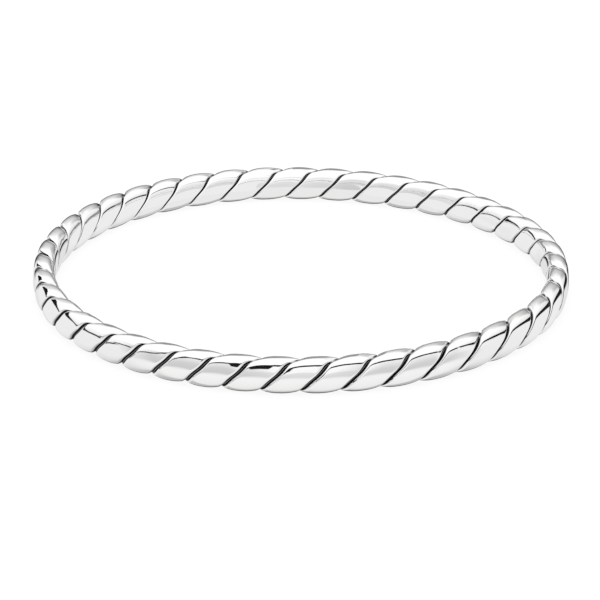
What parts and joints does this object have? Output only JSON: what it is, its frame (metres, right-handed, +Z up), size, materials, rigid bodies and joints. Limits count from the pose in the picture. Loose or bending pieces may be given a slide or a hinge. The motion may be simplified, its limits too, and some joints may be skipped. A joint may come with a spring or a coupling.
{
  "type": "twisted bangle",
  "caption": "Slip-on closed bangle: a thin round ring of polished silver with a rope-like twist, its slanting dark grooves set between smooth rounded pads.",
  "frame": {"origin": "middle of the circle that the ring rests on, at the height of its lowest pads", "axes": "+Z up along the ring's own axis, which the wrist goes along; +X and +Y across the ring, with the side that the picture shows nearest at -Y"},
  "size_m": [0.0654, 0.0654, 0.0042],
  "materials": {
    "polished_silver": "mirror-polished sterling silver with fine handling marks, darkened by oxide at the bottom of the grooves"
  },
  "bodies": {
    "root": {"twisted_ring": "polished_silver"}
  },
  "joints": []
}
